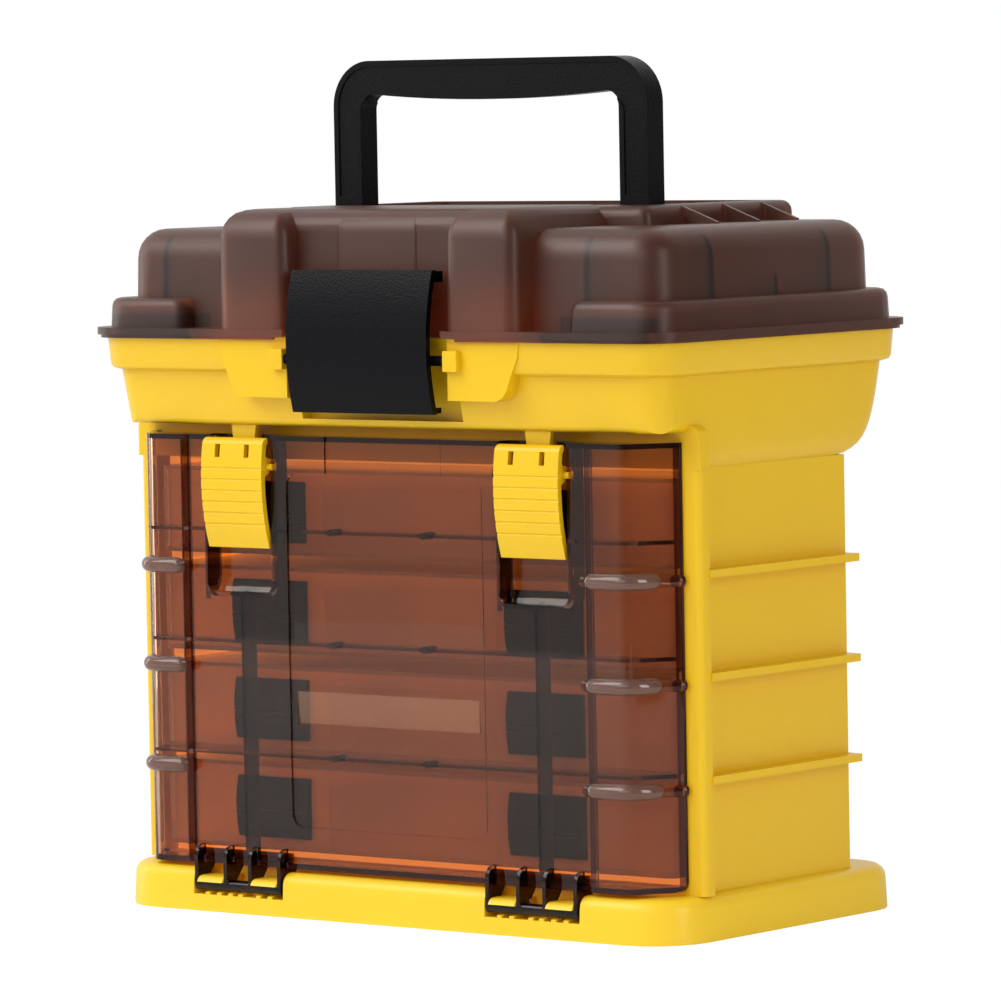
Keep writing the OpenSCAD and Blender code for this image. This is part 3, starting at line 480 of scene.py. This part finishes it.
@dataclass
class Finishes:
    """The finishes of this cabinet, each made once."""

    # Polypropylene with yellow pigment: satin, slightly waxy, a little light comes through its edges.
    yellow: OpaquePlastic = OpaquePlastic(
        "yellow_moulded_polypropylene",
        colour="#e9bf15",
        shade="#e6b811",
        roughness=0.36,
        ior=1.49,
        face=MouldFace.STONED,
        glow=0.12,
        gloss=0.4,
        # painted glow on the shell's thin walls, standing in for the daylight through them
        painted_glow=SHELL_PAINTED_GLOW,
    )
    # The same polypropylene on the thick plinth, made a little lighter as painted light: the floor's bounce and
    # the light through the thick moulding are painted into its colour.
    yellow_plinth_painted_bounce: OpaquePlastic = OpaquePlastic(
        "yellow_polypropylene_painted_bounce",
        colour="#f3cb28",
        shade="#f0c624",
        roughness=0.36,
        ior=1.49,
        face=MouldFace.STONED,
        glow=0.12,
        gloss=0.4,
    )
    # ABS with carbon black, from a leather-etched mould: dull, with small sparkles on the grain.
    black: OpaquePlastic = OpaquePlastic(
        "black_etched_abs",
        colour="#040408",
        shade="#030306",
        roughness=0.32,
        ior=1.5,
        face=MouldFace.ETCHED_LEATHER,
        gloss=0.11,
    )
    # The same ABS on the handle, etched only on its two sunk faces, with a smooth border.
    black_grip: OpaquePlastic = OpaquePlastic(
        "black_grip_abs",
        colour="#08080b",
        shade="#060608",
        roughness=0.36,
        ior=1.5,
        face=MouldFace.ETCHED_LEATHER,
        gloss=0.12,
        grain_within=(0.0018, 0.00435),
    )
    # The same ABS from a smooth mould, on the organiser boxes' latches.
    black_smooth: OpaquePlastic = OpaquePlastic(
        "black_smooth_abs",
        colour="#060608",
        shade="#050506",
        roughness=0.38,
        ior=1.5,
        face=MouldFace.STONED,
        gloss=0.08,
    )
    # Smoked polystyrene from a polished mould: clear as glass, brown, with sharp reflections.
    smoked_clear: ClearPlastic = ClearPlastic(
        "smoked_clear_polystyrene",
        tint="#c49e83",
        passed="#d0a388",
        roughness=0.03,
        ior=1.36,
        clarity=1.0,
        face=MouldFace.POLISHED,
        zones=DOOR_ZONES,
        frosted=GROOVE_FACE,
    )
    # The same polystyrene where it is thick, in the bands on the columns: a little milky.
    smoked_thick: ClearPlastic = ClearPlastic(
        "smoked_thick_polystyrene",
        tint="#9c7b6c",
        passed="#c79a7c",
        roughness=0.08,
        ior=1.5,
        clarity=0.72,
        face=MouldFace.POLISHED,
    )
    # The same polystyrene seen edge-on through the door, in the small knobs on its ribs.
    smoked_dark: OpaquePlastic = OpaquePlastic(
        "smoked_rib_polypropylene",
        colour="#2a1d19",
        shade="#261a16",
        roughness=0.5,
        ior=1.46,
        face=MouldFace.POLISHED,
        gloss=0.2,
    )
    # Smoked polypropylene from a spark-eroded mould: the same brown, but frosted.
    smoked_frosted: ClearPlastic = ClearPlastic(
        "smoked_frosted_polypropylene",
        tint="#7c4c37",
        passed="#a07c66",
        roughness=0.42,
        ior=1.47,
        clarity=0.88,
        face=MouldFace.SPARK_ERODED,
        zones=LID_ZONES,
    )
    # Natural polypropylene: milky, colourless, half clear.
    natural: ClearPlastic = ClearPlastic(
        "natural_polypropylene",
        tint="#f0dfcc",
        passed="#f2e6d8",
        roughness=0.25,
        ior=1.46,
        clarity=0.75,
        face=MouldFace.STONED,
    )
    # Bright drawn wire.
    steel: DrawnSteel = DrawnSteel()
    made: dict[str, bpy.types.Material] = field(default_factory=dict)

    def get(self, which: str) -> bpy.types.Material:
        """Gives a finish's material, built on first use.

        Args:
            which: Name of one of this class's finishes.

        Returns:
            The material.
        """
        if which not in self.made:
            self.made[which] = getattr(self, which).build()
        return self.made[which]


@dataclass
class Dresser:
    """Gives the frame's nodes their finishes and the small edge radii of moulded plastic."""

    frame: Mapping[str, Any]
    finishes: Finishes

    def dress(self, nodes: Iterable[str], finish: str, edge: float = 0.0) -> None:
        """Puts one finish on several nodes.

        Args:
            nodes: Names of the nodes.
            finish: Name of the finish.
            edge: Radius of the rounded edges in metres, or 0 for none.
        """
        material = self.finishes.get(finish)
        for name in nodes:
            piece = self.frame["nodes"][name]
            piece.data.materials.clear()
            piece.data.materials.append(material)
            weld = piece.modifiers.new("weld", "WELD")
            weld.merge_threshold = WELD_DISTANCE
            if edge > 0:
                self.round_edges(piece, edge)
            smooth = piece.modifiers.new("smooth", "NODES")
            smooth.node_group = self.smooth_faces()
            if edge > 0:
                # the wide flat faces keep their own normals beside the narrow rounded edges
                flat = piece.modifiers.new("flat", "WEIGHTED_NORMAL")
                flat.keep_sharp = True
                flat.weight = WIDE_FACE_WEIGHT
            LOG.info("%s: %s", name, material.name)

    @staticmethod
    def round_edges(piece: bpy.types.Object, radius: float) -> None:
        """Rounds a piece's sharp edges with a bevel.

        Args:
            piece: The mesh object.
            radius: Radius in metres.
        """
        bevel = piece.modifiers.new("edges", "BEVEL")
        bevel.width = radius
        bevel.segments = ROUND_SEGMENTS
        bevel.limit_method = "ANGLE"
        bevel.angle_limit = math.radians(ROUND_ABOVE_DEG)
        bevel.use_clamp_overlap = True

    @staticmethod
    def smooth_faces() -> bpy.types.NodeTree:
        """Gives the geometry nodes that shade round faces smooth and keep true edges sharp.

        Returns:
            The node group, made on first use.
        """
        name = "smooth_below_angle"
        if name in bpy.data.node_groups:
            return bpy.data.node_groups[name]
        tree = bpy.data.node_groups.new(name, "GeometryNodeTree")
        tree.interface.new_socket("Geometry", in_out="INPUT", socket_type="NodeSocketGeometry")
        tree.interface.new_socket("Geometry", in_out="OUTPUT", socket_type="NodeSocketGeometry")
        source = add_node(tree, "NodeGroupInput")
        faces = add_node(
            tree,
            "GeometryNodeSetShadeSmooth",
            {"domain": "FACE"},
            {"Geometry": source.outputs["Geometry"], "Shade Smooth": True},
        )
        angle = add_node(tree, "GeometryNodeInputMeshEdgeAngle")
        sharp = add_node(
            tree,
            "FunctionNodeCompare",
            {"data_type": "FLOAT", "operation": "GREATER_THAN"},
            {0: angle.outputs["Unsigned Angle"], 1: math.radians(SHARP_ABOVE_DEG)},
        )
        edges = add_node(
            tree,
            "GeometryNodeSetShadeSmooth",
            {"domain": "EDGE"},
            {
                "Geometry": faces.outputs["Geometry"],
                "Selection": sharp.outputs["Result"],
                "Shade Smooth": False,
            },
        )
        add_node(tree, "NodeGroupOutput", None, {"Geometry": edges.outputs["Geometry"]})
        return tree


@dataclass
class Cabinet:
    """The yellow mouldings: plinth, shell and top bin, with the lid's hinge pins."""

    dresser: Dresser

    def build(self) -> None:
        """Dresses the root body's nodes."""
        self.dresser.dress(["cabinet_shell", "top_bin"], "yellow")
        # the plinth gets the lighter copy of the yellow, painted light from the floor's bounce
        self.dresser.dress(["base_plinth"], "yellow_plinth_painted_bounce")
        self.dresser.dress(["lid_hinge_pins"], "steel")


def make_piece(
    name: str,
    rings: Iterable[Iterable[tuple[float, float, float]]],
    material: bpy.types.Material,
    body: str,
) -> bpy.types.Object:
    """Makes a closed piece that is skinned over equal rings of points, and lets it ride on a body.

    Args:
        name: Name of the piece.
        rings: Closed rings of equally many points, from one end of the piece to the other.
        material: Its finish.
        body: The body that carries it.

    Returns:
        The piece.
    """
    stations = [list(ring) for ring in rings]
    size, count = len(stations[0]), len(stations)
    faces = [
        (k * size + i, k * size + (i + 1) % size, (k + 1) * size + (i + 1) % size, (k + 1) * size + i)
        for k in range(count - 1)
        for i in range(size)
    ]
    ends = [tuple(reversed(range(size))), tuple(range((count - 1) * size, count * size))]
    mesh = bpy.data.meshes.new(name)
    mesh.from_pydata([point for ring in stations for point in ring], [], faces + ends)
    mesh.validate()
    shell = bmesh.new()
    shell.from_mesh(mesh)
    bmesh.ops.recalc_face_normals(shell, faces=shell.faces)
    shell.to_mesh(mesh)
    shell.free()
    mesh.materials.append(material)
    piece = bpy.data.objects.new(name, mesh)
    bpy.context.collection.objects.link(piece)
    smooth = piece.modifiers.new("smooth", "NODES")
    smooth.node_group = Dresser.smooth_faces()
    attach(piece, body)
    return piece


@dataclass
class Lid:
    """The smoked lid with its folding handle, and the inner ribs that show through its frosted walls.

    Front and side are how far out the inner faces of its walls stand. Front ribs are given by their X, and
    side ribs by their Y and the part of the wall's height that they cover.
    """

    dresser: Dresser
    front: float = 0.0646
    side: float = 0.1226
    low: float = 0.2165
    high: float = 0.2492
    depth: float = 0.011
    bend: float = 0.009
    thick: float = 0.0012
    handle_edge: float = 0.0009
    front_ribs: tuple[float, ...] = (-0.1035, 0.0930)
    side_ribs: tuple[tuple[float, float], ...] = ((-0.0344, 1.0), (0.0040, 0.5), (0.0368, 1.0))
    slot: str = "smoked_frosted_plastic"

    def build(self) -> None:
        """Dresses the lid and the handle, and adds the ribs."""
        self.dresser.dress(["lid_cover"], "smoked_frosted")
        self.dresser.dress(["carry_handle"], "black_grip", self.handle_edge)
        material = self.dresser.finishes.get("smoked_frosted")
        for n, x in enumerate(self.front_ribs):
            rings = [[(at, -out, z) for out, z in self.profile(self.front, 1.0)] for at in self.faces(x)]
            make_piece(f"lid_front_rib_{n + 1}", rings, material, "lid")
        for n, (y, share) in enumerate(self.side_ribs):
            for side, label in ((-1, "left"), (1, "right")):
                outline = self.profile(self.side, share)
                rings = [[(side * out, at, z) for out, z in outline] for at in self.faces(y)]
                make_piece(f"lid_side_rib_{label}_{n + 1}", rings, material, "lid")

    def faces(self, middle: float) -> tuple[float, float]:
        """Gives the two faces of a rib.

        Args:
            middle: Place of the rib's middle.

        Returns:
            The places of its two faces.
        """
        return middle - self.thick / 2, middle + self.thick / 2

    def profile(self, wall: float, share: float) -> list[tuple[float, float]]:
        """Gives a rib's outline, which follows the wall up and over its rounded top edge.

        Args:
            wall: How far out the wall's inner face stands.
            share: Part of the wall's height that the rib covers.

        Returns:
            Points as (outward, height).
        """
        inner = wall - self.depth
        if share < 1:
            top = self.low + (self.high - self.low) * share
            return [(inner, self.low), (wall, self.low), (wall, top), (inner, top)]
        arc = [
            (
                wall - self.bend * (1 - math.cos(math.radians(a))),
                self.high - self.bend * (1 - math.sin(math.radians(a))),
            )
            for a in (0, 30, 60, 90)
        ]
        return [(inner, self.low), (wall, self.low), *arc, (inner, self.high)]


@dataclass
class Latches:
    """The main latch and the two door latches."""

    dresser: Dresser
    edge: float = 0.0005

    def build(self) -> None:
        """Dresses the three latches."""
        self.dresser.dress(["main_latch"], "black", self.edge)
        self.dresser.dress(["door_latch_left", "door_latch_right"], "yellow")


@dataclass
class Door:
    """The smoked drop-down door, with the full bands round its columns and the knobs on its ribs.

    A band runs along the column's front, round its bend and down its slope. It stands out by band_out, and
    its ends are given as (distance from the tip, share of the full section).
    """

    dresser: Dresser
    edge: float = 0.0004
    column_front: float = 0.0706
    column_inner: float = 0.0936
    bend_x: float = 0.1080
    bend_radius: float = 0.0060
    slope_length: float = 0.0096
    slope: tuple[float, float] = (0.5, -0.866)
    band_heights: tuple[float, ...] = (0.0536, 0.0908, 0.1278)
    band_out: float = 0.0029
    band_half: float = 0.0030
    band_ends: tuple[tuple[float, float], ...] = ((0.0, 0.3), (0.0006, 0.65), (0.0016, 0.87), (0.0031, 1.0))
    rib_front: float = 0.0664
    knob_places: tuple[float, ...] = (-0.0265, 0.0168)
    knob_half: float = 0.0032
    knob_rise: float = 0.0013
    knob_depth: float = 0.0060
    slot: str = "smoked_clear_plastic"

    def build(self) -> None:
        """Dresses the door, and adds the bands and the knobs."""
        self.dresser.dress(["drop_door"], "smoked_clear", self.edge)
        thick = self.dresser.finishes.get("smoked_thick")
        dark = self.dresser.finishes.get("smoked_dark")
        for n, z in enumerate(self.band_heights):
            for side, label in ((-1, "left"), (1, "right")):
                make_piece(f"door_band_{label}_{n + 1}", self.band(side, z), thick, "door")
        for n, z in enumerate(DOOR_RIB_HEIGHTS):
            for k, x in enumerate(self.knob_places):
                make_piece(f"door_rib_knob_{n + 1}_{k + 1}", self.knob(x, z), dark, "door")

    def route(self) -> list[tuple[float, float, float, float, float]]:
        """Gives a band's route round the column.

        Returns:
            Stations as (outward X, forward, normal's X, normal's forward part, share of the full section).
        """
        start = [(self.column_inner + run, self.column_front, 0.0, 1.0, share) for run, share in self.band_ends]
        turn = [
            (
                self.bend_x + self.bend_radius * math.sin(math.radians(a)),
                self.column_front - self.bend_radius * (1 - math.cos(math.radians(a))),
                math.sin(math.radians(a)),
                math.cos(math.radians(a)),
                1.0,
            )
            for a in (0, 15, 30, 45, 60)
        ]
        x, forward = turn[-1][:2]
        along_x, along_forward = self.slope
        finish = []
        for run, share in reversed(self.band_ends):
            down = self.slope_length - run
            finish.append((x + along_x * down, forward + along_forward * down, -along_forward, along_x, share))
        return start + turn + finish

    def band(self, side: int, height: float) -> list[list[tuple[float, float, float]]]:
        """Gives one half-round band.

        Args:
            side: -1 for the left column, 1 for the right one.
            height: Height of the band's middle.

        Returns:
            Rings of points along the band.
        """
        rings = []
        for x, forward, out_x, out_forward, share in self.route():
            ring = []
            for a in (-90, -65, -40, -20, 0, 20, 40, 65, 90):
                out = self.band_out * share * math.cos(math.radians(a))
                up = self.band_half * share * math.sin(math.radians(a))
                ring.append((side * (x + out_x * out), -(forward + out_forward * out), height + up))
            rings.append(ring)
        return rings

    def knob(self, x: float, height: float) -> list[list[tuple[float, float, float]]]:
        """Gives the small diamond-shaped thickening of a rib.

        Args:
            x: Place along the rib.
            height: Height of the rib's middle.

        Returns:
            Rings of points from the panel back.
        """
        half, rise = self.knob_half, self.knob_rise
        shape = ((-half, 0.0), (0.0, -rise), (half, 0.0), (0.0, rise))
        ends = (self.rib_front, self.rib_front - self.knob_depth)
        return [[(x + dx, -y, height + dz) for dx, dz in shape] for y in ends]


@dataclass
class OrganiserBoxes:
    """The four organiser boxes behind the door."""

    dresser: Dresser
    count: int = 4

    def build(self) -> None:
        """Dresses each box's tray, cover, dividers and latches."""
        for n in range(1, self.count + 1):
            self.dresser.dress([f"box_{n}_tray", f"box_{n}_cover", f"box_{n}_dividers"], "natural")
            self.dresser.dress([f"box_{n}_latch_left", f"box_{n}_latch_right"], "black_smooth")


@dataclass(frozen=True)
class PhotoCamera:
    """The camera at the photograph's place and angle, in radians, metres and the picture's pixels."""

    azimuth: float = 6.68197322e-01
    pitch: float = 6.25836644e-02
    roll: float = -1.83154675e-02
    focal_px: float = 6591.688
    distance: float = 2.436184
    aside: float = 0.000296
    height: float = 0.149870
    image_px: float = 1001.0
    sensor: float = 36.0
    nearest: float = 0.05
    farthest: float = 30.0

    def build(self) -> bpy.types.Object:
        """Makes the camera and makes it the scene's own.

        Returns:
            The camera object.
        """
        a, p = self.azimuth, self.pitch
        back = Vector((math.sin(a) * math.cos(p), -math.cos(a) * math.cos(p), math.sin(p)))
        right = Vector((math.cos(a), math.sin(a), 0.0))
        up = back.cross(right)
        c, s = math.cos(self.roll), math.sin(self.roll)
        side, top = right * c + up * s, up * c - right * s
        aim = Vector((self.aside * math.cos(a), self.aside * math.sin(a), self.height))
        where = aim + back * self.distance
        data = bpy.data.cameras.new("photo_camera")
        data.sensor_width = self.sensor
        data.lens = self.focal_px / self.image_px * self.sensor
        data.clip_start, data.clip_end = self.nearest, self.farthest
        camera = bpy.data.objects.new("photo_camera", data)
        turn = Matrix((side, top, back)).transposed().to_4x4()
        camera.matrix_world = Matrix.Translation(where) @ turn
        bpy.context.collection.objects.link(camera)
        bpy.context.scene.camera = camera
        return camera


@dataclass(frozen=True)
class SoftLamp:
    """One soft box of the studio."""

    name: str
    place: tuple[float, float, float]
    aim: tuple[float, float, float]
    size: tuple[float, float]
    watts: float

    def build(self) -> None:
        """Makes the lamp and turns it to its aim."""
        data = bpy.data.lights.new(self.name, "AREA")
        data.shape = "RECTANGLE"
        data.size, data.size_y = self.size
        data.energy = self.watts
        lamp = bpy.data.objects.new(self.name, data)
        lamp.location = self.place
        way = Vector(self.aim) - Vector(self.place)
        lamp.rotation_euler = way.to_track_quat("-Z", "Y").to_euler()
        bpy.context.collection.objects.link(lamp)


@dataclass
class Studio:
    """Pale floor, white surround, a dim room on the right, and soft boxes.

    Fill is the light that the surround sheds, and room is how bright its dim side looks in reflections.
    The surround dims as the cosine of the angle to its dim side grows between the two numbers in dimming.
    """

    floor_colour: str = "#fbfbfb"
    floor_half: float = 1.0
    floor_drop: float = 0.0002
    floor_roughness: float = 0.9
    floor_shine: float = 1.1
    floor_shine_share: float = 0.86
    fill: float = 0.5
    room: float = 0.12
    dim_side: tuple[float, float, float] = (0.96, -0.27, 0.06)
    dimming: tuple[float, float] = (-0.5, 0.5)
    lamps: tuple[SoftLamp, ...] = (
        SoftLamp("key", (0.1, -1.9, 1.0), (0.0, 0.0, 0.1), (1.6, 1.0), 10.0),
        SoftLamp("side", (1.9, -0.3, 0.7), (0.0, 0.0, 0.14), (0.35, 1.2), 8.5),
        SoftLamp("left", (-1.8, -0.3, 0.5), (0.0, 0.0, 0.14), (0.25, 1.2), 4.0),
        SoftLamp("top", (-0.85, -1.15, 1.5), (0.0, 0.0, 0.2), (1.3, 1.2), 22.0),
    )

    def build(self) -> None:
        """Makes the surround, the floor and the lamps, and sets plain colours."""
        bpy.context.scene.view_settings.view_transform = "Standard"
        self.surround()
        self.floor()
        for lamp in self.lamps:
            lamp.build()

    def surround(self) -> None:
        """Lights the object with a soft white world, which is pure white where it shows.

        Mirroring faces that look towards the right see the dim room instead.
        """
        world = bpy.data.worlds.new("white_studio")
        bpy.context.scene.world = world
        world.use_nodes = True
        tree = world.node_tree
        tree.nodes.clear()
        rays = add_node(tree, "ShaderNodeLightPath")
        seen = add_node(
            tree,
            "ShaderNodeMath",
            {"operation": "MAXIMUM"},
            {0: rays.outputs["Is Camera Ray"], 1: rays.outputs["Is Transmission Ray"]},
        )
        way = add_node(tree, "ShaderNodeTexCoord").outputs["Generated"]
        towards = {0: way, 1: self.dim_side}
        ahead = add_node(tree, "ShaderNodeVectorMath", {"operation": "DOT_PRODUCT"}, towards)
        bright = add_node(
            tree,
            "ShaderNodeMapRange",
            None,
            {
                "Value": ahead.outputs["Value"],
                "From Min": self.dimming[0],
                "From Max": self.dimming[1],
                "To Min": 1.0,
                "To Max": self.room,
            },
        )
        unseen = add_node(
            tree,
            "ShaderNodeMapRange",
            None,
            {"Value": rays.outputs["Is Glossy Ray"], "To Min": self.fill, "To Max": bright.outputs["Result"]},
        )
        strength = add_node(
            tree,
            "ShaderNodeMapRange",
            None,
            {"Value": seen.outputs["Value"], "To Min": unseen.outputs["Result"], "To Max": 1.0},
        )
        shed = {"Color": linear("#ffffff"), "Strength": strength.outputs["Result"]}
        white = add_node(tree, "ShaderNodeBackground", None, shed)
        output = add_node(tree, "ShaderNodeOutputWorld")
        tree.links.new(white.outputs["Background"], output.inputs["Surface"])

    def floor(self) -> None:
        """Makes a pale floor that keeps a faint shadow."""
        half = self.floor_half
        corners = [(-half, -half, 0), (half, -half, 0), (half, half, 0), (-half, half, 0)]
        mesh = bpy.data.meshes.new("studio_floor")
        mesh.from_pydata(corners, [], [(0, 1, 2, 3)])
        plane = bpy.data.objects.new("studio_floor", mesh)
        plane.location.z = -self.floor_drop
        bpy.context.collection.objects.link(plane)
        material, tree, output = empty_material("white_paper_sweep")
        sheet = {"Base Color": linear(self.floor_colour), "Roughness": self.floor_roughness}
        paper = add_node(tree, "ShaderNodeBsdfPrincipled", None, sheet)
        glow = {"Color": linear("#ffffff"), "Strength": self.floor_shine}
        shine = add_node(tree, "ShaderNodeEmission", None, glow)
        rays = add_node(tree, "ShaderNodeLightPath")
        shown = {0: rays.outputs["Is Camera Ray"], 1: self.floor_shine_share}
        share = add_node(tree, "ShaderNodeMath", {"operation": "MULTIPLY"}, shown)
        mixed = add_node(
            tree,
            "ShaderNodeMixShader",
            None,
            {0: share.outputs["Value"], 1: paper.outputs["BSDF"], 2: shine.outputs["Emission"]},
        )
        tree.links.new(mixed.outputs["Shader"], output.inputs["Surface"])
        plane.data.materials.append(material)


def main() -> None:
    """Builds the cabinet's looks, the studio and the camera."""
    logging.basicConfig(level=logging.INFO, format="%(name)s %(message)s")
    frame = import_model()
    PhotoCamera().build()
    Studio().build()
    dresser = Dresser(frame, Finishes())
    for part in (Cabinet, Lid, Latches, Door, OrganiserBoxes):
        part(dresser).build()


if __name__ == "__main__":
    main()
